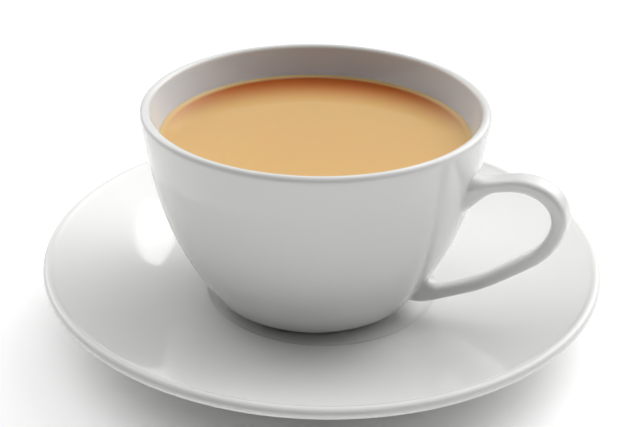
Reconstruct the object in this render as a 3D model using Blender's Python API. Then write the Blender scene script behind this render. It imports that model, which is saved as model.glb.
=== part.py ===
"""Cup of tea with milk: a glazed porcelain cup with a strap handle, its saucer and the drink.

Metres, +Z up. The origin lies on the table under the middle of the saucer. The saucer stands on
its foot ring, the cup stands in the saucer's well, a little to one side, and the tea fills the cup
to just below its rim. +X points to the handle's side, and the front of the cup faces -Y.
"""

import math

import bmesh
import bpy
import numpy as np
from mathutils import Matrix

MM = 0.001

# Saucer, radii from its axis and heights from the table
SAUCER_RADIUS = 76.0 * MM
SAUCER_HEIGHT = 20.6 * MM
SAUCER_LIP = 1.45 * MM              # radius of the rounded lip
LIP_MEETS_TOP = 140.0               # degrees round the lip, from straight outwards
LIP_MEETS_UNDERSIDE = -62.0
WELL_FLOOR = 7.05 * MM              # the flat that carries the cup
WELL_RADIUS = 29.4 * MM
COVE_EDGE = 32.3 * MM               # outer radius of the cove round the well
COVE_RISE = 0.9 * MM
COVE_CURVE = 2.0                    # 1 is a straight slope, more is hollower
DISH_CURVE = 1.4
FOOT_RING_OUTER = 43.5 * MM
FOOT_RING_INNER = 39.5 * MM
FOOT_RING_CHAMFER = 0.4 * MM
UNDER_WELL = 3.0 * MM               # height of the recess inside the foot ring
SHOULDER = (44.4 * MM, 4.4 * MM)    # where the underside leaves the ring: radius, height
UNDERSIDE_CURVE = 1.1

# Cup body, heights from the bottom of its foot
TOUCH_GAP = 0.3 * MM                # between pieces that rest on or fill each other
CUP_SHIFT = -2.3 * MM               # the cup stands this far off the saucer's middle, along X
CUP_RADIUS = 45.75 * MM
CUP_HEIGHT = 55.2 * MM
CUP_LIP = 1.35 * MM                 # radius of the rounded lip
CUP_FOOT_RADIUS = 26.0 * MM
CUP_FOOT_HEIGHT = 1.7 * MM
CUP_FOOT_WIDTH = 3.2 * MM
CUP_FOOT_CHAMFER = 0.3 * MM
CUP_FOOT_RECESS = 2.0 * MM
BELLY_START = (28.5 * MM, 2.0 * MM)
BELLY_PULL = (39.5 * MM, 17.8 * MM)
SIDE_PULL = (43.55 * MM, 31.0 * MM)
INNER_SIDE_PULL = (38.4 * MM, 28.0 * MM)
INNER_BELLY_PULL = (33.8 * MM, 5.8 * MM)
INNER_FLOOR = (17.0 * MM, 5.8 * MM)

# Tea
TEA_LEVEL = 46.0 * MM               # from the bottom of the cup's foot
TEA_RADIUS = 41.05 * MM             # inside radius of the cup at that level

# Handle, in its own upright plane through the cup's axis: reach from the axis, height from the foot
HANDLE_TURN = -25.5                 # degrees from +X towards the front
HANDLE_LINE = [
    (50.4 * MM, 43.1 * MM),
    (53.2 * MM, 44.1 * MM),
    (57.0 * MM, 45.0 * MM),
    (62.4 * MM, 44.2 * MM),
    (66.7 * MM, 40.8 * MM),
    (67.8 * MM, 35.1 * MM),
    (64.4 * MM, 27.2 * MM),
    (57.1 * MM, 20.5 * MM),
    (48.7 * MM, 13.9 * MM),
    (41.6 * MM, 9.9 * MM),
    (38.8 * MM, 8.4 * MM),
]
STRAP_STATIONS = (0.0, 0.25, 0.5, 1.0)             # ways along the line, for the two sizes below
STRAP_WIDTH = (7.0 * MM, 6.7 * MM, 6.3 * MM, 5.2 * MM)
STRAP_THICKNESS = (3.2 * MM, 4.6 * MM, 3.6 * MM, 3.3 * MM)
STRAP_SQUARENESS = 2.8              # exponent of the section: 2 is an ellipse, more is squarer
ROOT_SQUARENESS = 2.1
UPPER_ROOT = (39.2 * MM, 5.8 * MM, 6.0 * MM)       # height on the wall, half height, half width
LOWER_ROOT = (7.8 * MM, 4.3 * MM, 4.6 * MM)
ROOT_SINK = 1.2 * MM                # how deep the roots reach into the cup's wall
ROOT_LEAVE_TOP = 25.0               # degrees from the wall at which a root's upper end leaves it
ROOT_LEAVE_BOTTOM = 85.0
ROOT_PULL = (1.1, 0.9)              # strength of a root's curve at the wall and at the strap

# Fineness: steps round the axis and along each stretch of an outline
ROUND_STEPS = 64
LIP_STEPS = 7
COVE_STEPS = 3
DISH_STEPS = 9
UNDERSIDE_STEPS = 5
OUTER_WALL_STEPS = 14
INNER_WALL_STEPS = 11
HANDLE_STATIONS = 26
ROOT_STATIONS = 7
SECTION_POINTS = 16
SPAN_STEPS = 12                     # between two points of the handle's line, before evening out
WALL_SAMPLES = 60                   # on the wall, when a root looks up its radius
SHARP_ANGLE = 35.0                  # degrees past which an edge is shaded sharp


def curve(start, pull_start, pull_end, end, steps):
    """Points on a cubic Bezier curve, its start included and its end left out."""
    t = np.linspace(0.0, 1.0, steps, endpoint=False)[:, None]
    a, b, c, d = (np.array(p) for p in (start, pull_start, pull_end, end))
    points = (1 - t) ** 3 * a + 3 * (1 - t) ** 2 * t * b + 3 * (1 - t) * t**2 * c + t**3 * d
    return [tuple(p) for p in points]


def arc(centre, radius, start, end, steps):
    """Points on an arc from start to end in degrees, both ends included."""
    angles = np.radians(np.linspace(start, end, steps + 1))
    return [(centre[0] + radius * math.cos(a), centre[1] + radius * math.sin(a)) for a in angles]


def slope(start, end, power, steps):
    """Points from start to end whose rise follows a power of the way out, end left out."""
    (r0, z0), (r1, z1) = start, end
    ways = np.linspace(0.0, 1.0, steps, endpoint=False)
    return [(r0 + (r1 - r0) * way, z0 + (z1 - z0) * way**power) for way in ways]


def material(name, colour, roughness):
    """A Principled material with a linear colour."""
    made = bpy.data.materials.new(name)
    made.use_nodes = True
    shader = made.node_tree.nodes["Principled BSDF"]
    shader.inputs["Base Color"].default_value = (*colour, 1.0)
    shader.inputs["Roughness"].default_value = roughness
    shader.inputs["Metallic"].default_value = 0.0
    return made


def add_object(name, form, finish):
    """An object from a finished bmesh, with its faces pointing out and shaded smooth."""
    bmesh.ops.recalc_face_normals(form, faces=form.faces)
    mesh = bpy.data.meshes.new(name)
    form.to_mesh(mesh)
    form.free()
    mesh.materials.append(finish)
    mesh.shade_smooth()
    mesh.set_sharp_from_angle(angle=math.radians(SHARP_ANGLE))
    made = bpy.data.objects.new(name, mesh)
    bpy.context.collection.objects.link(made)
    return made


def turned(name, outline, finish):
    """A solid of revolution about Z from an outline of (radius, height) that starts and ends on it."""
    form = bmesh.new()
    verts = [form.verts.new((radius, 0.0, height)) for radius, height in outline]
    edges = [form.edges.new(pair) for pair in zip(verts, verts[1:])]
    bmesh.ops.spin(
        form, geom=verts + edges, axis=(0, 0, 1), cent=(0, 0, 0),
        angle=2 * math.pi, steps=ROUND_STEPS, use_merge=True,
    )
    bmesh.ops.remove_doubles(form, verts=form.verts, dist=0.001 * MM)
    return add_object(name, form, finish)


def foot_outline(outer, inner, chamfer, outer_top, inner_top):
    """A foot ring's section, down its outer side and up its inner side to the recess."""
    return [
        (outer, outer_top),
        (outer, chamfer),
        (outer - chamfer, 0.0),
        (inner + chamfer, 0.0),
        (inner, chamfer),
        (inner - chamfer, inner_top),
        (0.0, inner_top),
    ]


def saucer_outline():
    """From the middle of the well out over the lip, and back underneath to the axis."""
    lip_centre = (SAUCER_RADIUS - SAUCER_LIP, SAUCER_HEIGHT - SAUCER_LIP)
    lip = arc(lip_centre, SAUCER_LIP, LIP_MEETS_TOP, LIP_MEETS_UNDERSIDE, LIP_STEPS)
    cove_top = (COVE_EDGE, WELL_FLOOR + COVE_RISE)
    well = [(0.0, WELL_FLOOR)] + slope((WELL_RADIUS, WELL_FLOOR), cove_top, COVE_CURVE, COVE_STEPS)
    dish = slope(cove_top, lip[0], DISH_CURVE, DISH_STEPS)
    underside = slope(SHOULDER, lip[-1], UNDERSIDE_CURVE, UNDERSIDE_STEPS)[::-1]
    ring = foot_outline(
        FOOT_RING_OUTER, FOOT_RING_INNER, FOOT_RING_CHAMFER,
        SHOULDER[1] - FOOT_RING_CHAMFER, UNDER_WELL,
    )
    return well + dish + lip + underside + ring


def outer_wall(steps):
    """The cup's outside from the belly's lower edge up to where the lip begins."""
    top = (CUP_RADIUS, CUP_HEIGHT - CUP_LIP)
    return curve(BELLY_START, BELLY_PULL, SIDE_PULL, top, steps)


def inner_wall():
    """The cup's inside from the tea's surface down to its floor and in to the axis."""
    surface = (TEA_RADIUS, TEA_LEVEL)
    wall = curve(surface, INNER_SIDE_PULL, INNER_BELLY_PULL, INNER_FLOOR, INNER_WALL_STEPS)
    return wall + [INNER_FLOOR, (0.0, INNER_FLOOR[1])]


def cup_outline():
    """From under the foot out and up the wall, over the lip, and down inside to the axis."""
    lip_centre = (CUP_RADIUS - CUP_LIP, CUP_HEIGHT - CUP_LIP)
    foot = foot_outline(
        CUP_FOOT_RADIUS, CUP_FOOT_RADIUS - CUP_FOOT_WIDTH, CUP_FOOT_CHAMFER,
        CUP_FOOT_HEIGHT, CUP_FOOT_RECESS,
    )
    lip = arc(lip_centre, CUP_LIP, 0.0, 180.0, LIP_STEPS)
    return foot[::-1] + outer_wall(OUTER_WALL_STEPS) + lip + inner_wall()


def tea_outline():
    """From the middle of the surface to the wall, and down just inside the cup to the axis."""
    wall = np.array(inner_wall())
    down = np.gradient(wall, axis=0)
    down /= np.linalg.norm(down, axis=1)[:, None]
    inside = wall + TOUCH_GAP * np.stack([down[:, 1], -down[:, 0]], axis=1)
    inside[0, 1] = TEA_LEVEL
    inside[-1, 0] = 0.0
    return [(0.0, TEA_LEVEL)] + [tuple(p) for p in inside]


def smooth_line(points, count):
    """A Catmull-Rom curve through the points, read at count even steps of its length."""
    p = np.array(points)
    p = np.vstack([2 * p[0] - p[1], p, 2 * p[-1] - p[-2]])
    t = np.linspace(0.0, 1.0, SPAN_STEPS, endpoint=False)[:, None]
    spans = [
        b + 0.5 * ((c - a) * t + (2 * a - 5 * b + 4 * c - d) * t**2 + (3 * b - a - 3 * c + d) * t**3)
        for a, b, c, d in zip(p, p[1:], p[2:], p[3:])
    ]
    line = np.vstack([*spans, p[-2:-1]])
    length = np.concatenate([[0.0], np.cumsum(np.linalg.norm(np.diff(line, axis=0), axis=1))])
    even = np.linspace(0.0, length[-1], count)
    return np.stack([np.interp(even, length, line[:, k]) for k in (0, 1)], axis=1)


def section(squareness):
    """A superellipse's outline as (across, outwards) pairs for half sizes of 1."""
    angles = np.linspace(0.0, 2 * math.pi, SECTION_POINTS, endpoint=False)
    power = 2.0 / squareness
    cosine, sine = np.cos(angles), np.sin(angles)
    return np.sign(cosine) * abs(cosine) ** power, np.sign(sine) * abs(sine) ** power


def strap_rings():
    """Rings of (reach, across, height) along the handle's line, and the line's directions."""
    line = smooth_line(HANDLE_LINE, HANDLE_STATIONS)
    along = np.gradient(line, axis=0)
    along /= np.linalg.norm(along, axis=1)[:, None]
    way = np.linspace(0.0, 1.0, HANDLE_STATIONS)
    half_width = np.interp(way, STRAP_STATIONS, STRAP_WIDTH)[:, None] / 2
    half_thickness = np.interp(way, STRAP_STATIONS, STRAP_THICKNESS)[:, None] / 2
    across, outwards = section(STRAP_SQUARENESS)
    out = half_thickness * outwards
    reach = line[:, :1] - along[:, 1:] * out
    height = line[:, 1:] + along[:, :1] * out
    rings = np.stack([reach, half_width * across, height], axis=2)
    return rings, np.insert(along, 1, 0.0, axis=1)


def wall_ring(root, upwards):
    """An oval of points a little inside the cup's wall, and the way each leaves the wall."""
    middle, half_height, half_width = root
    wall = np.array(outer_wall(WALL_SAMPLES))
    across, outwards = section(ROOT_SQUARENESS)
    side = half_width * across
    rise = upwards * outwards
    height = middle + half_height * rise
    radius = np.interp(height, wall[:, 1], wall[:, 0])
    lean = np.interp(height, wall[:, 1], np.gradient(wall[:, 0], wall[:, 1]))
    reach = np.sqrt(radius**2 - side**2)
    points = np.stack([reach, side, height], axis=1)
    normal = np.stack([reach, side, -lean * radius], axis=1)
    normal /= np.linalg.norm(normal, axis=1)[:, None]
    inwards = points.mean(axis=0) - points
    inwards -= (inwards * normal).sum(axis=1)[:, None] * normal
    inwards /= np.linalg.norm(inwards, axis=1)[:, None]
    angle = np.radians(np.interp(rise, (-1.0, 1.0), (ROOT_LEAVE_BOTTOM, ROOT_LEAVE_TOP)))[:, None]
    leave = np.cos(angle) * inwards + np.sin(angle) * normal
    return points - ROOT_SINK * leave / np.sin(angle), leave


def root_rings(wall, leave, ring, direction):
    """Hermite rings from the wall's oval to the strap's ring, both of which are left out."""
    t = np.linspace(0.0, 1.0, ROOT_STATIONS + 2)[1:-1, None, None]
    length = np.linalg.norm(ring - wall, axis=1)[:, None]
    from_wall = ROOT_PULL[0] * length * leave
    into_strap = ROOT_PULL[1] * length * direction
    return (
        (2 * t**3 - 3 * t**2 + 1) * wall + (t**3 - 2 * t**2 + t) * from_wall
        + (3 * t**2 - 2 * t**3) * ring + (t**3 - t**2) * into_strap
    )


def handle_rings():
    """All the handle's rings from the upper root to the lower one."""
    strap, direction = strap_rings()
    upper, upper_leave = wall_ring(UPPER_ROOT, 1.0)
    lower, lower_leave = wall_ring(LOWER_ROOT, -1.0)
    first = root_rings(upper, upper_leave, strap[0], direction[0])
    last = root_rings(lower, lower_leave, strap[-1], -direction[-1])[::-1]
    return np.concatenate([upper[None], first, strap, last, lower[None]])


def handle_form(finish):
    """The handle as a closed tube whose ends lie inside the cup's wall, to be joined to it."""
    form = bmesh.new()
    rings = [[form.verts.new(point) for point in ring] for ring in handle_rings()]
    for here, there in zip(rings, rings[1:]):
        for k in range(SECTION_POINTS):
            after = (k + 1) % SECTION_POINTS
            form.faces.new((here[k], here[after], there[after], there[k]))
    for end in (rings[0], rings[-1]):
        form.faces.new(end)
    form.transform(Matrix.Rotation(math.radians(HANDLE_TURN), 4, "Z"))
    made = add_object("handle_form", form, finish)
    made.hide_render = True
    made.display_type = "WIRE"
    return made


def build():
    for old in list(bpy.data.objects):
        bpy.data.objects.remove(old)
    porcelain = material("white glazed porcelain", (0.82, 0.82, 0.81), 0.06)
    milk_tea = material("milk tea", (0.70, 0.45, 0.21), 0.08)
    stand = (CUP_SHIFT, 0.0, WELL_FLOOR + TOUCH_GAP)

    turned("saucer", saucer_outline(), porcelain)

    cup = turned("cup", cup_outline(), porcelain)
    handle = handle_form(porcelain)
    handle.parent = cup
    join = cup.modifiers.new("handle", "BOOLEAN")
    join.operation = "UNION"
    join.solver = "EXACT"
    join.object = handle
    cup.location = stand

    tea = turned("tea", tea_outline(), milk_tea)
    tea.location = stand


build()
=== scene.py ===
"""Looks of a cup of tea with milk: glazed porcelain cup with a strap handle, its saucer and the drink.

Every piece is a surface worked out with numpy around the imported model. Metres, +Z up, the handle
towards +X and the camera at -Y.
"""

import math

import bpy
import numpy as np
from bpy.props import FloatProperty, FloatVectorProperty, PointerProperty
from mathutils import Matrix, Quaternion, Vector


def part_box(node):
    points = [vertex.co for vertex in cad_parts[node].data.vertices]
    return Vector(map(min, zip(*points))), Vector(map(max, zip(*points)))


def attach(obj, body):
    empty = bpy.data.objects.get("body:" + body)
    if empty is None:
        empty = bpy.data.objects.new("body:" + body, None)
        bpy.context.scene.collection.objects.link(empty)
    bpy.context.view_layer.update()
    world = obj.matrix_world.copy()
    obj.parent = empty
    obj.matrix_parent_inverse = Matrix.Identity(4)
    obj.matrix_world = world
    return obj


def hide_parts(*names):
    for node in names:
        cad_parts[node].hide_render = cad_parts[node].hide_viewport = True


bl_info = {
    "name": "Cup of milk tea",
    "version": (1, 0, 0),
    "blender": (4, 5, 0),
    "location": "3D View > Sidebar > Milk tea",
    "description": "Builds a porcelain cup and saucer filled with milk tea, and a studio around them",
    "category": "Object",
}

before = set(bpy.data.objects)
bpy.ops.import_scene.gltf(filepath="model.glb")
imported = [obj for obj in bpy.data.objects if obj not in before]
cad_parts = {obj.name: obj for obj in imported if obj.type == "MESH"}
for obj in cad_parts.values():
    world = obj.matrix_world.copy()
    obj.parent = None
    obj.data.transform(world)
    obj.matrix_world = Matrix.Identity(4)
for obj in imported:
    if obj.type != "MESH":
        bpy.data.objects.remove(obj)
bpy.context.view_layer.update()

MM = 0.001
SAUCER_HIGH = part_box("saucer")[1]
CUP_LOW, CUP_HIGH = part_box("cup")
TEA_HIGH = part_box("tea")[1]
CUP_RADIUS = (CUP_HIGH.y - CUP_LOW.y) / 2
CUP_AXIS = CUP_LOW.x + CUP_RADIUS           # the cup stands this far off the saucer's middle, along X
CUP_FOOT = CUP_LOW.z                        # height of the cup's foot above the table

# Saucer, radii from its axis and heights from the table
LIP_MEETS_TOP = 140.0                       # degrees round the lip, from straight outwards
LIP_MEETS_UNDERSIDE = -62.0
WELL_FLOOR = 7.05 * MM
WELL_RADIUS = 29.4 * MM
COVE_EDGE = 32.3 * MM
COVE_RISE = 0.9 * MM
COVE_CURVE = 2.0                            # 1 is a straight slope, more is hollower
DISH_CURVE = 1.4
FOOT_RING_OUTER = 43.5 * MM
FOOT_RING_INNER = 39.5 * MM
FOOT_RING_CHAMFER = 0.4 * MM
UNDER_WELL = 3.0 * MM
SHOULDER = (44.4 * MM, 4.4 * MM)
UNDERSIDE_CURVE = 1.1

# Cup body, heights from the bottom of its foot
CUP_FOOT_RADIUS = 26.0 * MM
CUP_FOOT_HEIGHT = 1.7 * MM
CUP_FOOT_WIDTH = 3.2 * MM
CUP_FOOT_CHAMFER = 0.3 * MM
CUP_FOOT_RECESS = 2.0 * MM
BELLY_START = (28.5 * MM, 2.0 * MM)
BELLY_PULL = (39.5 * MM, 17.8 * MM)
SIDE_PULL = (43.55 * MM, 31.0 * MM)
INNER_SIDE_PULL = (38.4 * MM, 28.0 * MM)
INNER_BELLY_PULL = (33.8 * MM, 5.8 * MM)
INNER_FLOOR = (17.0 * MM, 5.8 * MM)
INNER_TOP = (41.05 * MM, 46.0 * MM)         # where the inside leaves the tea's surface

# Strap of the handle, in its own upright plane: reach from the cup's axis, height from the cup's foot
HANDLE_LINE = [
    (50.4 * MM, 43.1 * MM),
    (53.2 * MM, 44.1 * MM),
    (57.0 * MM, 45.0 * MM),
    (62.4 * MM, 44.2 * MM),
    (66.7 * MM, 40.8 * MM),
    (67.8 * MM, 35.1 * MM),
    (64.4 * MM, 27.2 * MM),
    (57.1 * MM, 20.5 * MM),
    (48.7 * MM, 13.9 * MM),
    (41.6 * MM, 9.9 * MM),
    (38.8 * MM, 8.4 * MM),
]
STRAP_STATIONS = (0.0, 0.25, 0.5, 1.0)      # ways along the line, for the two sizes below
STRAP_WIDTH = (7.0 * MM, 6.7 * MM, 6.3 * MM, 5.2 * MM)
STRAP_THICKNESS = (3.2 * MM, 4.6 * MM, 3.6 * MM, 3.3 * MM)
STRAP_OUTER_SQUARENESS = 3.6                # exponents of the section: 2 is an ellipse, more is squarer
STRAP_INNER_SQUARENESS = 2.6
STRAP_SHIFT = 0.08                          # share of the thickness that the section moves inwards
LINE_SOFTNESS = 0.035                       # share of the line's length over which it is blurred
SIZES_SOFTNESS = 1 / 16                     # the same for the section's two sizes
DIRECTION_SOFTNESS = 1 / 60                 # and for the line's direction

# Roots of the handle
UPPER_ROOT = (38.6 * MM, 5.1 * MM, 4.6 * MM)    # height on the wall, half height, half width
LOWER_ROOT = (7.1 * MM, 3.6 * MM, 3.3 * MM)
ROOT_SQUARENESS = 2.6
UPPER_ROOT_LEAVE = (50.0, 55.0)             # degrees from the wall at the root's lower and upper end
LOWER_ROOT_LEAVE = (75.0, 60.0)
ROOT_PULL = (1.1, 0.9)                      # how far a root keeps its direction at the wall and the strap
ROOT_SINK = 1.2 * MM                        # how deep the curve of a root starts below the wall
FILLET_SINK = 0.02 * MM                     # how deep the fillet starts below the wall
FILLET_PULL = 0.62                          # how far the fillet keeps to the wall and to the handle
HIDDEN_END_DEPTH = 0.7 * MM                 # how deep the closed end of the handle lies in the wall
HIDDEN_END_SHRINK = 0.3                     # share by which it is smaller than the root

# Drink: its edge, and the crescent of painted shade from the far rim, which begins this far from an
# upright line
TEA_SOFTNESS = 0.12 * MM                    # keeps the drink's thin edge from being a knife edge
TEA_FILM_WIDTH = 1.5 * MM
TEA_PAINTED_SHADE_MIDDLE = (-2.8 * MM, -20.0 * MM)
TEA_PAINTED_SHADE_START = 41.0 * MM
TEA_PAINTED_SHADE_FULL = 59.0 * MM

# Where the glaze begins above the flat that a piece stands on, and where a painted cool tint in the cup
# offsets the tea's warm light
BARE_UP_TO = 0.15 * MM
GLAZED_FROM = 0.35 * MM
PAINTED_COOL_BELOW_TEA = 1.0 * MM
PAINTED_COOL_ONTO_LIP = 0.3 * MM
PAINTED_COOL_FADE = 0.5 * MM

# Sockets of each finish that are the same all over it
PORCELAIN = {"IOR": 1.5}
MILK_TEA = {
    "Roughness": 0.03,
    "IOR": 1.34,
    "Specular IOR Level": 0.4,
    "Subsurface Weight": 0.6,
    "Subsurface Radius": (1.0, 0.5, 0.3),
    "Subsurface Scale": 2.5 * MM,
}
PAPER = {"Roughness": 0.9, "Specular IOR Level": 0.2}

# Patterns in the finishes, each scale from its real size
GLAZE_PATCHES = {"Scale": 1 / (22 * MM), "Detail": 2.0}
GLAZE_WAVES = {"Scale": 1 / (9 * MM), "Detail": 1.0}
GLAZE_WAVE_HEIGHT = {"Strength": 0.35, "Distance": 0.02 * MM}
MILK_CLOUDS = {"Scale": 1 / (26 * MM), "Detail": 3.0, "Distortion": 1.2}
MILK_DRIFT = {"To Min": 0.98, "To Max": 1.02}   # brightness between and in the clouds of milk
GLOSS = {"To Min": 0.055, "To Max": 0.6}        # roughness of the glaze and of the bare ring

# Numbers of a Mix node's sockets
FACTOR = 0
COLOUR_A = 6
COLOUR_B = 7
COLOUR_OUT = 2

# Fineness of the finished surfaces
ROUND_STEPS = 288
SAUCER_RINGS = 230
CUP_RINGS = 240
TEA_RINGS = 110
TEA_SURFACE_STEPS = 576
SECTION_STEPS = 72
STRAP_STEPS = 150
ROOT_STEPS = 26
FILLET_STEPS = 8
CURVE_STEPS = 96
OUTLINE_SPACING = 0.1 * MM
BLUR_REACH = 4                              # half width of the Gaussian weights, in sigmas

# Soft lights of the sky: azimuth from behind (+Y) towards +X, elevation, spread, strength
SOFT_LIGHTS = {
    "behind, left": (-45.0, 30.0, 15.0, 3.35),
    "behind, right": (45.0, 30.0, 15.0, 3.7),
    "high right": (45.0, 52.0, 15.0, 2.4),
    "overhead": (0.0, 75.0, 15.0, 0.8),
    "overhead, front": (180.0, 75.0, 15.0, 1.15),
    "backdrop": (0.0, 20.0, 12.0, 0.3),
    "right": (75.0, 30.0, 15.0, 0.6),
}

# Softbox that is seen in the saucer's glaze
SOFTBOX_DIRECTION = (13.1, 39.3)            # azimuth and elevation
SOFTBOX_DISTANCE = 12.0
SOFTBOX_TURN = 22.0                         # degrees about the line to it
SOFTBOX_SIZE = (0.48, 3.5)                  # width and length
SOFTBOX_WATTS = 15.0

# Floor, and the band round the saucer in which it gives light: middle, start and end of each fade
FLOOR_DEPTH = 0.05 * MM                     # keeps the floor clear of the foot ring's flat
GLOW_BEGINS = ((0.0, 0.0), 58.0 * MM, 82.0 * MM)
GLOW_ENDS = ((0.0, 200.0 * MM), 330.0 * MM, 800.0 * MM)
WHITE = (1.0, 1.0, 1.0, 1.0)

# The photograph's view: the camera's place, its tilt below the horizon, roll and lens
CAMERA_PLACE = (-0.8 * MM, -277.2 * MM, 176.85 * MM)
CAMERA_TILT = 28.0
CAMERA_ROLL = 1.0
SENSOR_WIDTH = 36.0
FOCAL_PIXELS = 1144.0
IMAGE_WIDTH = 640.0


def linear(hex_colour):
    """An sRGB hex colour such as "f4f2ee" as linear red, green and blue.

    Values up to 0.04045 are divided by 12.92, and the others are ((v + 0.055) / 1.055) to the 2.4.
    """
    values = [int(hex_colour[k:k + 2], 16) / 255 for k in (0, 2, 4)]
    return tuple(v / 12.92 if v <= 0.04045 else ((v + 0.055) / 1.055) ** 2.4 for v in values)


def size(name, description, default):
    """A length that the user can change."""
    return FloatProperty(name=name, description=description, default=default, unit="LENGTH", precision=5)


def colour(name, description, hex_colour):
    """A colour that the user can change."""
    return FloatVectorProperty(
        name=name, description=description, default=linear(hex_colour), subtype="COLOR",
        min=0.0, max=1.0, size=3,
    )


class SaucerSettings(bpy.types.PropertyGroup):
    radius: size("Radius", "From the middle to the outside of the lip", SAUCER_HIGH.x)
    height: size("Height", "From the table to the top of the lip", SAUCER_HIGH.z)
    lip: size("Lip", "Radius of the rounded lip", 1.45 * MM)
    softness: size("Softness", "How far the glaze rounds the edges", 0.28 * MM)


class CupSettings(bpy.types.PropertyGroup):
    radius: size("Radius", "Outside radius at the mouth", CUP_RADIUS)
    height: size("Height", "From the foot to the rim", CUP_HIGH.z - CUP_LOW.z)
    lip: size("Lip", "Radius of the rounded lip", 1.35 * MM)
    softness: size("Softness", "How far the glaze rounds the edges", 0.3 * MM)
    handle_turn: FloatProperty(
        name="Handle turn", description="Direction of the handle from +X", subtype="ANGLE",
        default=math.radians(-25.5),
    )
    fillet: size("Fillet", "Rounding where the handle meets the wall", 0.4 * MM)


class TeaSettings(bpy.types.PropertyGroup):
    level: size("Level", "Height of the surface above the table", TEA_HIGH.z)
    climb: size("Climb", "How far the surface climbs the wall", 0.8 * MM)
    reach: size("Reach", "Width of the strip that climbs", 1.3 * MM)
    into_wall: size("Into wall", "How far the drink reaches into the cup's wall", 0.12 * MM)


class FinishSettings(bpy.types.PropertyGroup):
    glaze: colour("Glaze", "White glaze", "f1f1f0")
    glaze_thin: colour("Thin glaze", "Glaze where it lies a little thinner", "eeeeec")
    # painted cool tint inside the cup, against the warm light that the tea throws on the wall
    painted_cool_inside: colour("Glaze inside", "Cooler glaze inside the cup, above the tea", "e6edf5")
    biscuit: colour("Biscuit", "Bare fired clay under the foot rings", "e6e1d8")
    tea: colour("Tea", "Milk tea in the light", "dfb576")
    # painted shade: darker, redder tea painted where the far rim's shadow falls
    tea_painted_shade: colour("Tea in shade", "Milk tea in the rim's shade, lit from inside itself", "b8580c")
    tea_film: colour("Tea film", "Thin film of tea that clings to the wall", "eec082")
    floor: colour("Floor", "Pale table", "f4f4f4")


class StudioSettings(bpy.types.PropertyGroup):
    middle: FloatVectorProperty(
        name="Middle", description="Point that the softbox faces", subtype="TRANSLATION",
        unit="LENGTH", default=(0.0, 0.0, 30.0 * MM), size=3,
    )
    floor_width: size("Floor", "Width of the pale floor", 8.0)
    sky: FloatProperty(name="Sky", description="Strength of the even light all round", default=0.0)
    glow: FloatProperty(name="Glow", description="Light of the floor round the saucer", default=0.28)


def arc(centre, radius, start, end):
    """Points on a circle from start to end in degrees: centre + radius (cos, sin)."""
    angles = np.radians(np.linspace(start, end, CURVE_STEPS))
    return np.array(centre) + radius * np.stack([np.cos(angles), np.sin(angles)], axis=1)


def bezier(start, pull_start, pull_end, end, steps=CURVE_STEPS):
    """Points on a cubic Bezier curve: the four points weighted by the Bernstein polynomials of t."""
    t = np.linspace(0.0, 1.0, steps)
    weights = [(1 - t) ** 3, 3 * (1 - t) ** 2 * t, 3 * (1 - t) * t**2, t**3]
    points = [np.asarray(p, float) for p in (start, pull_start, pull_end, end)]
    return sum(w.reshape(-1, *[1] * p.ndim) * p for w, p in zip(weights, points))


def slope(start, end, power):
    """Points from start to end whose rise is a power of the way out."""
    way = np.linspace(0.0, 1.0, CURVE_STEPS)
    start, end = np.array(start), np.array(end)
    return start + (end - start) * np.stack([way, way**power], axis=1)


def even(points, count):
    """The polyline's points at even steps of its length."""
    length = np.concatenate([[0.0], np.cumsum(np.linalg.norm(np.diff(points, axis=0), axis=1))])
    at = np.linspace(0.0, length[-1], count)
    return np.stack([np.interp(at, length, points[:, k]) for k in range(points.shape[1])], axis=1)


def blurred(values, sigma):
    """Each column averaged with a Gaussian weight over its neighbours, sigma in steps."""
    half = int(BLUR_REACH * sigma) + 1
    weights = np.exp(-0.5 * (np.arange(-half, half + 1) / sigma) ** 2)
    weights /= weights.sum()
    padded = np.pad(values, ((half, half), (0, 0)), mode="edge")
    columns = [np.convolve(padded[:, k], weights, "valid") for k in range(values.shape[1])]
    return np.stack(columns, axis=1)


def glazed(outline, softness, rings):
    """An outline from axis to axis with every edge rounded as a glaze rounds it.

    The points are spaced evenly, mirrored over the axis at both ends, and blurred with a Gaussian
    as wide as softness. They are then read at even steps of length plus turning angle, so that
    tight bends get more rings than flat stretches.
    """
    total = np.linalg.norm(np.diff(outline, axis=0), axis=1).sum()
    points = even(outline, int(total / OUTLINE_SPACING))
    spare = min(len(points) - 1, int(2 * BLUR_REACH * softness / OUTLINE_SPACING))
    flip = np.array([-1.0, 1.0])
    longer = np.concatenate([points[spare:0:-1] * flip, points, points[-2:-2 - spare:-1] * flip])
    soft = blurred(longer, softness / OUTLINE_SPACING)[spare:spare + len(points)]
    soft[0, 0] = soft[-1, 0] = 0.0
    step = np.diff(soft, axis=0)
    way = np.linalg.norm(step, axis=1)
    angle = np.unwrap(np.arctan2(step[:, 1], step[:, 0]))
    turning = np.abs(np.gradient(angle))
    effort = np.concatenate([[0.0], np.cumsum(way / way.sum() + turning / turning.sum())])
    at = np.linspace(0.0, effort[-1], rings)
    return np.stack([np.interp(at, effort, soft[:, k]) for k in (0, 1)], axis=1)


def grid_faces(rows, columns):
    """Quads of a grid of rows that closes on itself along its columns."""
    row, column = np.meshgrid(np.arange(rows - 1), np.arange(columns), indexing="ij")
    after = (column + 1) % columns
    corners = [row * columns + column, (row + 1) * columns + column,
               (row + 1) * columns + after, row * columns + after]
    return np.stack(corners, axis=-1).reshape(-1, 4)


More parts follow.
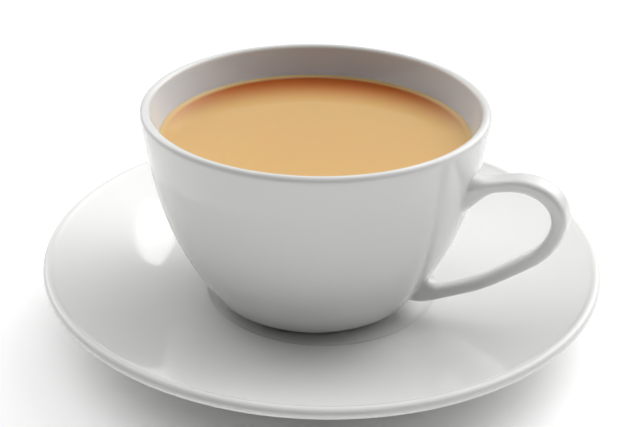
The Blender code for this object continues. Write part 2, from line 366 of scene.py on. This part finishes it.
def closed_tube(name, rings, start, end, finish):
    """A mesh object of rings of points, closed by a fan of triangles to a point at each end."""
    rows, columns = rings.shape[:2]
    points = np.concatenate([rings.reshape(-1, 3), [start, end]])
    column = np.arange(columns)
    after = (column + 1) % columns
    last = (rows - 1) * columns
    start_fan = np.stack([np.full(columns, rows * columns), column, after], axis=1)
    end_fan = np.stack([np.full(columns, rows * columns + 1), last + after, last + column], axis=1)
    faces = grid_faces(rows, columns).tolist() + start_fan.tolist() + end_fan.tolist()
    mesh = bpy.data.meshes.new(name)
    mesh.from_pydata(points, [], faces)
    mesh.shade_smooth()
    mesh.materials.append(finish)
    piece = bpy.data.objects.new(name, mesh)
    bpy.context.scene.collection.objects.link(piece)
    return piece


def turned(name, outline, axis, base, finish):
    """A solid of revolution: (axis + r cos a, r sin a, base + z) for each (r, z) of the outline."""
    angles = np.linspace(0.0, 2 * math.pi, ROUND_STEPS, endpoint=False)
    radius, height = outline[1:-1, 0][:, None], outline[1:-1, 1][:, None]
    rings = np.stack([
        axis + radius * np.cos(angles),
        radius * np.sin(angles),
        base + height * np.ones_like(angles),
    ], axis=2)
    poles = [(axis, 0.0, base + outline[k, 1]) for k in (0, -1)]
    return closed_tube(name, rings, *poles, finish)


def foot_outline(outer, inner, chamfer, outer_top, inner_top):
    """A foot ring's section, down its outer side and up its inner side to the axis."""
    return np.array([
        (outer, outer_top),
        (outer, chamfer),
        (outer - chamfer, 0.0),
        (inner + chamfer, 0.0),
        (inner, chamfer),
        (inner - chamfer, inner_top),
        (0.0, inner_top),
    ])


def saucer_outline(sizes):
    """From the middle of the well out over the lip, and back underneath to the axis."""
    lip = arc((sizes.radius - sizes.lip, sizes.height - sizes.lip), sizes.lip,
              LIP_MEETS_TOP, LIP_MEETS_UNDERSIDE)
    cove_top = (COVE_EDGE, WELL_FLOOR + COVE_RISE)
    return np.concatenate([
        [(0.0, WELL_FLOOR)],
        slope((WELL_RADIUS, WELL_FLOOR), cove_top, COVE_CURVE),
        slope(cove_top, lip[0], DISH_CURVE)[1:],
        lip[1:],
        slope(SHOULDER, lip[-1], UNDERSIDE_CURVE)[-2::-1],
        foot_outline(FOOT_RING_OUTER, FOOT_RING_INNER, FOOT_RING_CHAMFER,
                     SHOULDER[1] - FOOT_RING_CHAMFER, UNDER_WELL),
    ])


def outer_wall(sizes):
    """The cup's outside from the belly's lower edge up to where the lip begins."""
    return bezier(BELLY_START, BELLY_PULL, SIDE_PULL, (sizes.radius, sizes.height - sizes.lip))


def inner_wall():
    """The cup's inside from its floor up to the tea's surface."""
    return bezier(INNER_FLOOR, INNER_BELLY_PULL, INNER_SIDE_PULL, INNER_TOP)


def cup_outline(sizes):
    """From the middle of the inside up to the lip, down the outside and under the foot to the axis."""
    lip_centre = (sizes.radius - sizes.lip, sizes.height - sizes.lip)
    return np.concatenate([
        [(0.0, INNER_FLOOR[1])],
        inner_wall(),
        arc(lip_centre, sizes.lip, 180.0, 0.0),
        outer_wall(sizes)[-2::-1],
        foot_outline(CUP_FOOT_RADIUS, CUP_FOOT_RADIUS - CUP_FOOT_WIDTH, CUP_FOOT_CHAMFER,
                     CUP_FOOT_HEIGHT, CUP_FOOT_RECESS),
    ])


def tea_outline(tea, cup):
    """From the middle of the surface, up where it climbs the wall, and down just inside the wall.

    The surface rises above its level by climb times exp(-distance from the wall / reach).
    """
    up_to_lip = cup_outline(cup)[1:CURVE_STEPS + 2]
    level = tea.level - CUP_FOOT
    edge = level + tea.climb
    wall_radius = np.interp(edge, up_to_lip[:, 1], up_to_lip[:, 0])
    radius = np.linspace(0.0, wall_radius, TEA_SURFACE_STEPS)
    surface = np.stack([radius, level + tea.climb * np.exp((radius - wall_radius) / tea.reach)], axis=1)
    wet = inner_wall()[::-1]
    down = np.gradient(wet, axis=0)
    down /= np.linalg.norm(down, axis=1)[:, None]
    sunk = wet + tea.into_wall * np.stack([-down[:, 1], down[:, 0]], axis=1)
    sunk_edge = [(wall_radius + tea.into_wall, edge)]
    return np.concatenate([surface, sunk_edge, sunk, [(0.0, sunk[-1, 1])]])


def smooth_line(points, count):
    """A Catmull-Rom curve through the points, read at even steps of its length."""
    p = np.array(points)
    p = np.vstack([2 * p[0] - p[1], p, 2 * p[-1] - p[-2]])
    t = np.linspace(0.0, 1.0, CURVE_STEPS, endpoint=False)[:, None]
    spans = [
        b + 0.5 * ((c - a) * t + (2 * a - 5 * b + 4 * c - d) * t**2 + (3 * b - a - 3 * c + d) * t**3)
        for a, b, c, d in zip(p, p[1:], p[2:], p[3:])
    ]
    return even(np.vstack([*spans, p[-2:-1]]), count)


def blurred_line(line, sigma):
    """A line blurred along its length that keeps its two ends.

    It is carried on past each end by its own image, turned half a circle about that end.
    """
    spare = len(line) - 1
    before = 2 * line[0] - line[spare:0:-1]
    after = 2 * line[-1] - line[-2:-2 - spare:-1]
    return blurred(np.concatenate([before, line, after]), sigma)[spare:spare + len(line)]


def section(outer, inner):
    """A superellipse for half sizes of 1, squarer on its outer half than on its inner one.

    Across is |cos|^(2/n) and outwards |sin|^(2/n), each with its sign, and n is outer or inner.
    """
    angles = np.linspace(0.0, 2 * math.pi, SECTION_STEPS, endpoint=False)
    cosine, sine = np.cos(angles), np.sin(angles)
    power = 2.0 / np.where(sine > 0, outer, inner)
    return np.sign(cosine) * abs(cosine) ** power, np.sign(sine) * abs(sine) ** power


def strap_rings():
    """Rings of (reach, across, height) and the line's direction at each ring.

    A ring is the section, sized along the way and square to the line. The line, both sizes and the
    direction are blurred a little along the way, so that no kink shows in the gloss.
    """
    line = blurred_line(smooth_line(HANDLE_LINE, STRAP_STEPS), LINE_SOFTNESS * STRAP_STEPS)
    way = np.linspace(0.0, 1.0, STRAP_STEPS)
    sizes = np.stack([np.interp(way, STRAP_STATIONS, STRAP_WIDTH),
                      np.interp(way, STRAP_STATIONS, STRAP_THICKNESS)], axis=1)
    half_width, half_thickness = blurred(sizes, SIZES_SOFTNESS * STRAP_STEPS).T[:, :, None] / 2
    along = blurred(np.gradient(line, axis=0), DIRECTION_SOFTNESS * STRAP_STEPS)
    along /= np.linalg.norm(along, axis=1)[:, None]
    across, outwards = section(STRAP_OUTER_SQUARENESS, STRAP_INNER_SQUARENESS)
    out = half_thickness * (outwards - 2 * STRAP_SHIFT)
    rings = np.stack([
        line[:, :1] - along[:, 1:] * out,
        half_width * across,
        line[:, 1:] + along[:, :1] * out,
    ], axis=2)
    return rings, np.insert(along, 1, 0.0, axis=1)


def wall_ring(cup, root, upwards, grow=0.0):
    """An oval on the cup's outside, with the wall's normals, the ways towards its middle and its rise.

    The oval is a superellipse in (across, height), and reach is sqrt(wall radius² - across²). The
    rise goes from -1 at the oval's lower end to 1 at its upper one.
    """
    middle, half_height, half_width = root
    wall = outer_wall(cup)
    across, outwards = section(ROOT_SQUARENESS, ROOT_SQUARENESS)
    side = (half_width + grow) * across
    rise = upwards * outwards
    height = middle + (half_height + grow) * rise
    radius = np.interp(height, wall[:, 1], wall[:, 0])
    lean = np.interp(height, wall[:, 1], np.gradient(wall[:, 0], wall[:, 1]))
    points = np.stack([np.sqrt(radius**2 - side**2), side, height], axis=1)
    normal = np.stack([points[:, 0], side, -lean * radius], axis=1)
    normal /= np.linalg.norm(normal, axis=1)[:, None]
    inwards = points.mean(axis=0) - points
    inwards -= (inwards * normal).sum(axis=1)[:, None] * normal
    inwards /= np.linalg.norm(inwards, axis=1)[:, None]
    return points, normal, inwards, rise


def read_columns(curves, lengths, at):
    """The point of each column of curves where its own length along it is at."""
    return np.stack([
        np.stack([np.interp(at[:, j], lengths[:, j], curves[:, j, k]) for k in range(3)], axis=1)
        for j in range(curves.shape[1])
    ], axis=1)


def root_rings(cup, root, leaves, upwards, ring, direction):
    """Rings from inside the cup's wall out to the strap's end ring, which is left out.

    Each point of the section follows a Hermite curve that leaves the wall at an angle between the
    two of leaves. Its first stretch is replaced by a Bezier curve that starts in the wall's own
    surface, a fillet's width outside the oval, so that the handle flows out of the wall.
    """
    points, normal, inwards, rise = wall_ring(cup, root, upwards)
    angle = np.radians(np.interp(rise, (-1.0, 1.0), leaves))[:, None]
    leave = np.cos(angle) * inwards + np.sin(angle) * normal
    start = points - ROOT_SINK * leave / np.sin(angle)
    length = np.linalg.norm(ring - start, axis=1)[:, None]
    t = np.linspace(0.0, 1.0, CURVE_STEPS)[:, None, None]
    curves = (
        (2 * t**3 - 3 * t**2 + 1) * start + (t**3 - 2 * t**2 + t) * ROOT_PULL[0] * length * leave
        + (3 * t**2 - 2 * t**3) * ring + (t**3 - t**2) * ROOT_PULL[1] * length * direction
    )
    steps = np.linalg.norm(np.diff(curves, axis=0), axis=2)
    run = np.concatenate([np.zeros((1, SECTION_STEPS)), np.cumsum(steps, axis=0)])
    leaves_fillet = ROOT_SINK / np.sin(angle[:, 0]) + cup.fillet
    at = leaves_fillet + (run[-1] - leaves_fillet) * np.linspace(0.0, 1.0, ROOT_STEPS)[:, None]
    free = read_columns(curves, run, at)
    outside, wall_normal = wall_ring(cup, root, upwards, cup.fillet)[:2]
    leaving = free[1] - free[0]
    leaving /= np.linalg.norm(leaving, axis=1)[:, None]
    pull = FILLET_PULL * cup.fillet
    fillet = bezier(
        outside - FILLET_SINK * wall_normal, outside + pull * (points - outside) / cup.fillet,
        free[0] - pull * leaving, free[0], FILLET_STEPS,
    )
    hidden = outside - HIDDEN_END_DEPTH * wall_normal
    hidden += HIDDEN_END_SHRINK * (hidden.mean(axis=0) - hidden)
    return np.concatenate([hidden[None], fillet, free[1:-1]])


def handle_rings(cup):
    """All the handle's rings, from inside the wall at the upper root to inside it at the lower one."""
    strap, direction = strap_rings()
    upper = root_rings(cup, UPPER_ROOT, UPPER_ROOT_LEAVE, 1.0, strap[0], direction[0])
    lower = root_rings(cup, LOWER_ROOT, LOWER_ROOT_LEAVE, -1.0, strap[-1], -direction[-1])
    rings = np.concatenate([upper, strap, lower[::-1]])
    turn = np.array(Matrix.Rotation(cup.handle_turn, 3, "Z"))
    return rings @ turn.T + np.array([CUP_AXIS, 0.0, CUP_FOOT])


def add_node(tree, kind, settings=None, links=None):
    """A shader node with its settings and links.

    A setting goes to the socket of that name or number, or else to the attribute of that name.
    """
    node = tree.nodes.new(kind)
    for key, value in (settings or {}).items():
        if isinstance(key, int) or key in node.inputs:
            node.inputs[key].default_value = value
        else:
            setattr(node, key, value)
    for key, output in (links or {}).items():
        tree.links.new(output, node.inputs[key])
    return node


def new_material(name, sockets):
    """A material with only a Principled shader on its output, whose sockets get these values."""
    made = bpy.data.materials.new(name)
    made.use_nodes = True
    shader = made.node_tree.nodes["Principled BSDF"]
    for socket, value in sockets.items():
        shader.inputs[socket].default_value = value
    return made, made.node_tree, shader


def with_alpha(rgb):
    """A colour property as red, green, blue and alpha."""
    return (*rgb, 1.0)


def beyond(tree, place, middle, start, full):
    """Rises from 0 to 1 with the distance from an upright line through middle, from start to full.

    The distance is the length of (x, y) - middle, and the rise is 3 t² - 2 t³ of its share t.
    """
    away = add_node(tree, "ShaderNodeVectorMath", {"operation": "SUBTRACT", 1: (*middle, 0.0)},
                    {0: place})
    flat = add_node(tree, "ShaderNodeVectorMath", {"operation": "MULTIPLY", 1: (1.0, 1.0, 0.0)},
                    {0: away.outputs[0]})
    distance = add_node(tree, "ShaderNodeVectorMath", {"operation": "LENGTH"}, {0: flat.outputs[0]})
    return add_node(tree, "ShaderNodeMapRange", {
        "interpolation_type": "SMOOTHSTEP", "From Min": start, "From Max": full,
    }, {"Value": distance.outputs["Value"]}).outputs["Result"]


def glazed_porcelain(name, finish, foot_height, inside=None):
    """Hard-paste porcelain, dipped in a clear glaze and fired: white, with a mirror gloss.

    The glaze lies in soft waves that bend reflections a little, and its white shifts faintly where
    it runs thinner. The ring that it stands on is wiped bare before firing and stays matt. Inside
    the cup, within the radius and above the height that inside gives, the white is painted a little
    cooler, to offset the warm light that the tea throws on it.
    """
    made, tree, shader = new_material(name, PORCELAIN)
    place = add_node(tree, "ShaderNodeTexCoord").outputs["Object"]
    height = add_node(tree, "ShaderNodeSeparateXYZ", links={"Vector": place}).outputs["Z"]
    patches = add_node(tree, "ShaderNodeTexNoise", GLAZE_PATCHES, {"Vector": place})
    body = add_node(tree, "ShaderNodeMix", {
        "data_type": "RGBA",
        COLOUR_A: with_alpha(finish.glaze),
        COLOUR_B: with_alpha(finish.glaze_thin),
    }, {FACTOR: patches.outputs["Fac"]})
    bare = add_node(tree, "ShaderNodeMapRange", {
        "From Min": foot_height + BARE_UP_TO,
        "From Max": foot_height + GLAZED_FROM,
        "To Min": 1.0,
        "To Max": 0.0,
    }, {"Value": height}).outputs["Result"]
    body = add_node(tree, "ShaderNodeMix", {
        "data_type": "RGBA",
        COLOUR_B: with_alpha(finish.biscuit),
    }, {FACTOR: bare, COLOUR_A: body.outputs[COLOUR_OUT]})
    # painted cool tint inside the cup, above the tea, against the tea's warm light
    if inside:
        radius, low = inside
        outer = beyond(tree, place, (CUP_AXIS, 0.0), radius - PAINTED_COOL_FADE, radius)
        above = add_node(tree, "ShaderNodeMath", {"operation": "GREATER_THAN", 1: low}, {0: height})
        within = add_node(tree, "ShaderNodeMath", {"operation": "SUBTRACT", "use_clamp": True},
                          {0: above.outputs[0], 1: outer})
        body = add_node(tree, "ShaderNodeMix", {
            "data_type": "RGBA",
            COLOUR_B: with_alpha(finish.painted_cool_inside),
        }, {FACTOR: within.outputs[0], COLOUR_A: body.outputs[COLOUR_OUT]})
    rough = add_node(tree, "ShaderNodeMapRange", GLOSS, {"Value": bare})
    waves = add_node(tree, "ShaderNodeTexNoise", GLAZE_WAVES, {"Vector": place})
    bump = add_node(tree, "ShaderNodeBump", GLAZE_WAVE_HEIGHT, {"Height": waves.outputs["Fac"]})
    tree.links.new(body.outputs[COLOUR_OUT], shader.inputs["Base Color"])
    tree.links.new(rough.outputs["Result"], shader.inputs["Roughness"])
    tree.links.new(bump.outputs["Normal"], shader.inputs["Normal"])
    return made


def milk_tea(finish):
    """Black tea with milk: an opaque, warm drink with a mirror-smooth, wet surface.

    Light goes some way into it and comes back redder. The shade of the far rim is painted into the
    colour: a darker, redder orange crescent, which is what lies outside a circle whose middle is in
    front of the cup's. Where the drink climbs the wall it thins to a pale golden film. Faint clouds
    of milk drift in it.
    """
    made, tree, shader = new_material("milk tea", MILK_TEA)
    place = add_node(tree, "ShaderNodeTexCoord").outputs["Object"]
    # painted shade: how far the far rim's shadow is painted into the tea's colour
    shade = beyond(tree, place, TEA_PAINTED_SHADE_MIDDLE, TEA_PAINTED_SHADE_START, TEA_PAINTED_SHADE_FULL)
    edge = TEA_HIGH.x - CUP_AXIS
    film = beyond(tree, place, (CUP_AXIS, 0.0), edge - TEA_FILM_WIDTH, edge)
    clouds = add_node(tree, "ShaderNodeTexNoise", MILK_CLOUDS, {"Vector": place})
    drift = add_node(tree, "ShaderNodeMapRange", MILK_DRIFT, {"Value": clouds.outputs["Fac"]})
    deep = add_node(tree, "ShaderNodeMix", {
        "data_type": "RGBA",
        COLOUR_A: with_alpha(finish.tea),
        COLOUR_B: with_alpha(finish.tea_painted_shade),
    }, {FACTOR: shade})
    mixed = add_node(tree, "ShaderNodeMix", {
        "data_type": "RGBA",
        COLOUR_B: with_alpha(finish.tea_film),
    }, {FACTOR: film, COLOUR_A: deep.outputs[COLOUR_OUT]})
    cloudy = add_node(tree, "ShaderNodeVectorMath", {"operation": "SCALE"},
                      {0: mixed.outputs[COLOUR_OUT], "Scale": drift.outputs["Result"]})
    tree.links.new(cloudy.outputs[0], shader.inputs["Base Color"])
    return made


def matt_paper(finish, strength):
    """Uncoated paper, rolled smooth: an even, pale ground without shine.

    A band of it round the saucer gives light of its own, of this strength, so that it looks as
    bright as the photograph's table outside the soft shadow.
    """
    made, tree, shader = new_material("matt paper floor", PAPER)
    shader.inputs["Base Color"].default_value = with_alpha(finish.floor)
    shader.inputs["Emission Color"].default_value = WHITE
    place = add_node(tree, "ShaderNodeTexCoord").outputs["Object"]
    band = add_node(tree, "ShaderNodeMath", {"operation": "SUBTRACT"},
                    {0: beyond(tree, place, *GLOW_BEGINS), 1: beyond(tree, place, *GLOW_ENDS)})
    glow = add_node(tree, "ShaderNodeMath", {"operation": "MULTIPLY", 1: strength},
                    {0: band.outputs[0]})
    tree.links.new(glow.outputs[0], shader.inputs["Emission Strength"])
    return made


def seat(piece, node):
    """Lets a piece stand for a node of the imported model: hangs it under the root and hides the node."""
    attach(piece, "root")
    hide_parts(node)


def lay_floor(width, paper):
    """A square of paper, one face with its middle under the saucer's."""
    half = width / 2
    sides = ((-half, -half), (half, -half), (half, half), (-half, half))
    mesh = bpy.data.meshes.new("floor")
    mesh.from_pydata([(x, y, -FLOOR_DEPTH) for x, y in sides], [], [(0, 1, 2, 3)])
    mesh.materials.append(paper)
    floor = bpy.data.objects.new("floor", mesh)
    bpy.context.scene.collection.objects.link(floor)


def towards(azimuth, elevation):
    """The direction from the middle to a light: (sin a cos e, cos a cos e, sin e)."""
    a, e = math.radians(azimuth), math.radians(elevation)
    return Vector((math.sin(a) * math.cos(e), math.cos(a) * math.cos(e), math.sin(e)))


def hang_softbox(middle):
    """A long oval lamp that faces the middle, turned about the line to it."""
    lamp = bpy.data.lights.new("softbox", "AREA")
    lamp.shape = "ELLIPSE"
    lamp.size, lamp.size_y = SOFTBOX_SIZE
    lamp.energy = SOFTBOX_WATTS
    softbox = bpy.data.objects.new("softbox", lamp)
    bpy.context.scene.collection.objects.link(softbox)
    away = towards(*SOFTBOX_DIRECTION)
    softbox.location = Vector(middle) + SOFTBOX_DISTANCE * away
    turn = Quaternion((0.0, 0.0, 1.0), math.radians(SOFTBOX_TURN))
    softbox.rotation_euler = (away.to_track_quat("Z", "Y") @ turn).to_euler()
    softbox.visible_camera = False


def soft_sky(tree, base):
    """The strength of the sky in each direction: base plus each light's soft disc.

    A disc is strength times exp((cosine of the angle to the light - 1) / spread squared). The first
    is added to base and each other one to the sum before it.
    """
    way = add_node(tree, "ShaderNodeTexCoord").outputs["Object"]
    sum_before = {}
    for azimuth, elevation, spread, strength in SOFT_LIGHTS.values():
        light = towards(azimuth, elevation)
        cosine = add_node(tree, "ShaderNodeVectorMath", {"operation": "DOT_PRODUCT", 1: light}, {0: way})
        sharpness = 1 / math.radians(spread) ** 2
        power = add_node(tree, "ShaderNodeMath", {
            "operation": "MULTIPLY_ADD", 1: sharpness, 2: -sharpness,
        }, {0: cosine.outputs["Value"]})
        disc = add_node(tree, "ShaderNodeMath", {"operation": "EXPONENT"}, {0: power.outputs[0]})
        total = add_node(tree, "ShaderNodeMath", {
            "operation": "MULTIPLY_ADD", 1: strength, 2: base,
        }, {0: disc.outputs[0], **sum_before})
        sum_before = {2: total.outputs[0]}
    return total.outputs[0]


def light_sky(scene, base):
    """A world whose white light has the strength of the soft sky."""
    world = bpy.data.worlds.new("studio")
    world.use_nodes = True
    background = world.node_tree.nodes["Background"]
    background.inputs["Color"].default_value = WHITE
    world.node_tree.links.new(soft_sky(world.node_tree, base), background.inputs["Strength"])
    scene.world = world
    scene.view_settings.view_transform = "Standard"


def place_camera(scene):
    """The camera at the photograph's angle, from its tilt and roll."""
    tilt, roll = math.radians(CAMERA_TILT), math.radians(CAMERA_ROLL)
    forward = Vector((0.0, math.cos(tilt), -math.sin(tilt)))
    level_up = Vector((0.0, math.sin(tilt), math.cos(tilt)))
    level_right = Vector((1.0, 0.0, 0.0))
    right = math.cos(roll) * level_right + math.sin(roll) * level_up
    up = math.cos(roll) * level_up - math.sin(roll) * level_right
    lens = bpy.data.cameras.new("camera")
    lens.sensor_width = SENSOR_WIDTH
    lens.lens = FOCAL_PIXELS * SENSOR_WIDTH / IMAGE_WIDTH
    lens.clip_start = 1 * MM
    camera = bpy.data.objects.new("camera", lens)
    scene.collection.objects.link(camera)
    turn = Matrix((right, up, -forward)).transposed().to_4x4()
    camera.matrix_world = Matrix.Translation(CAMERA_PLACE) @ turn
    scene.camera = camera


class MILKTEA_OT_saucer(bpy.types.Operator):
    """Turn the saucer and glaze it"""

    bl_idname = "milktea.saucer"
    bl_label = "Saucer"

    def execute(self, context):
        sizes = context.scene.milktea_saucer
        glaze = glazed_porcelain("glazed porcelain saucer", context.scene.milktea_finish, 0.0)
        outline = glazed(saucer_outline(sizes), sizes.softness, SAUCER_RINGS)
        piece = turned("saucer_glazed", outline, 0.0, 0.0, glaze)
        seat(piece, "saucer")
        return {"FINISHED"}


class MILKTEA_OT_cup(bpy.types.Operator):
    """Turn the cup's body, pull its handle and glaze both"""

    bl_idname = "milktea.cup"
    bl_label = "Cup and handle"

    def execute(self, context):
        sizes = context.scene.milktea_cup
        # where the painted cool tint lies: within this radius and above this height
        inside = (sizes.radius - 2 * sizes.lip + PAINTED_COOL_ONTO_LIP,
                  TEA_HIGH.z - PAINTED_COOL_BELOW_TEA)
        glaze = glazed_porcelain("glazed porcelain cup", context.scene.milktea_finish, CUP_FOOT, inside)
        outline = glazed(cup_outline(sizes), sizes.softness, CUP_RINGS)
        body = turned("cup_body", outline, CUP_AXIS, CUP_FOOT, glaze)
        rings = handle_rings(sizes)
        handle = closed_tube("cup_handle", rings, rings[0].mean(axis=0), rings[-1].mean(axis=0), glaze)
        for piece in (body, handle):
            seat(piece, "cup")
        return {"FINISHED"}


class MILKTEA_OT_tea(bpy.types.Operator):
    """Fill the cup with milk tea that climbs the wall a little"""

    bl_idname = "milktea.tea"
    bl_label = "Milk tea"

    def execute(self, context):
        tea = context.scene.milktea_tea
        outline = glazed(tea_outline(tea, context.scene.milktea_cup), TEA_SOFTNESS, TEA_RINGS)
        piece = turned("tea_poured", outline, CUP_AXIS, CUP_FOOT, milk_tea(context.scene.milktea_finish))
        seat(piece, "tea")
        return {"FINISHED"}


class MILKTEA_OT_stage(bpy.types.Operator):
    """Lay the pale floor, hang the softbox, light the sky and set the camera at the photograph's angle"""

    bl_idname = "milktea.stage"
    bl_label = "Stage"

    def execute(self, context):
        studio = context.scene.milktea_studio
        lay_floor(studio.floor_width, matt_paper(context.scene.milktea_finish, studio.glow))
        hang_softbox(studio.middle)
        light_sky(context.scene, studio.sky)
        place_camera(context.scene)
        return {"FINISHED"}


SETTINGS = [
    ("milktea_saucer", SaucerSettings),
    ("milktea_cup", CupSettings),
    ("milktea_tea", TeaSettings),
    ("milktea_finish", FinishSettings),
    ("milktea_studio", StudioSettings),
]
OPERATORS = [MILKTEA_OT_saucer, MILKTEA_OT_cup, MILKTEA_OT_tea, MILKTEA_OT_stage]


class MILKTEA_PT_panel(bpy.types.Panel):
    """Lists the settings and the pieces of the cup of milk tea"""

    bl_idname = "MILKTEA_PT_panel"
    bl_label = "Cup of milk tea"
    bl_space_type = "VIEW_3D"
    bl_region_type = "UI"
    bl_category = "Milk tea"

    def draw(self, context):
        for name, _ in SETTINGS:
            group = getattr(context.scene, name)
            for setting in group.__annotations__:
                self.layout.prop(group, setting)
        for operator in OPERATORS:
            self.layout.operator(operator.bl_idname)


def register():
    """Registers every class and gives the scene its settings."""
    for name, group in SETTINGS:
        bpy.utils.register_class(group)
        setattr(bpy.types.Scene, name, PointerProperty(type=group))
    for shown in (*OPERATORS, MILKTEA_PT_panel):
        bpy.utils.register_class(shown)


def unregister():
    """Takes back what register did, last first."""
    for shown in (MILKTEA_PT_panel, *reversed(OPERATORS)):
        bpy.utils.unregister_class(shown)
    for name, group in reversed(SETTINGS):
        delattr(bpy.types.Scene, name)
        bpy.utils.unregister_class(group)


def main():
    register()
    bpy.ops.milktea.saucer()
    bpy.ops.milktea.cup()
    bpy.ops.milktea.tea()
    bpy.ops.milktea.stage()


if __name__ == "__main__":
    main()
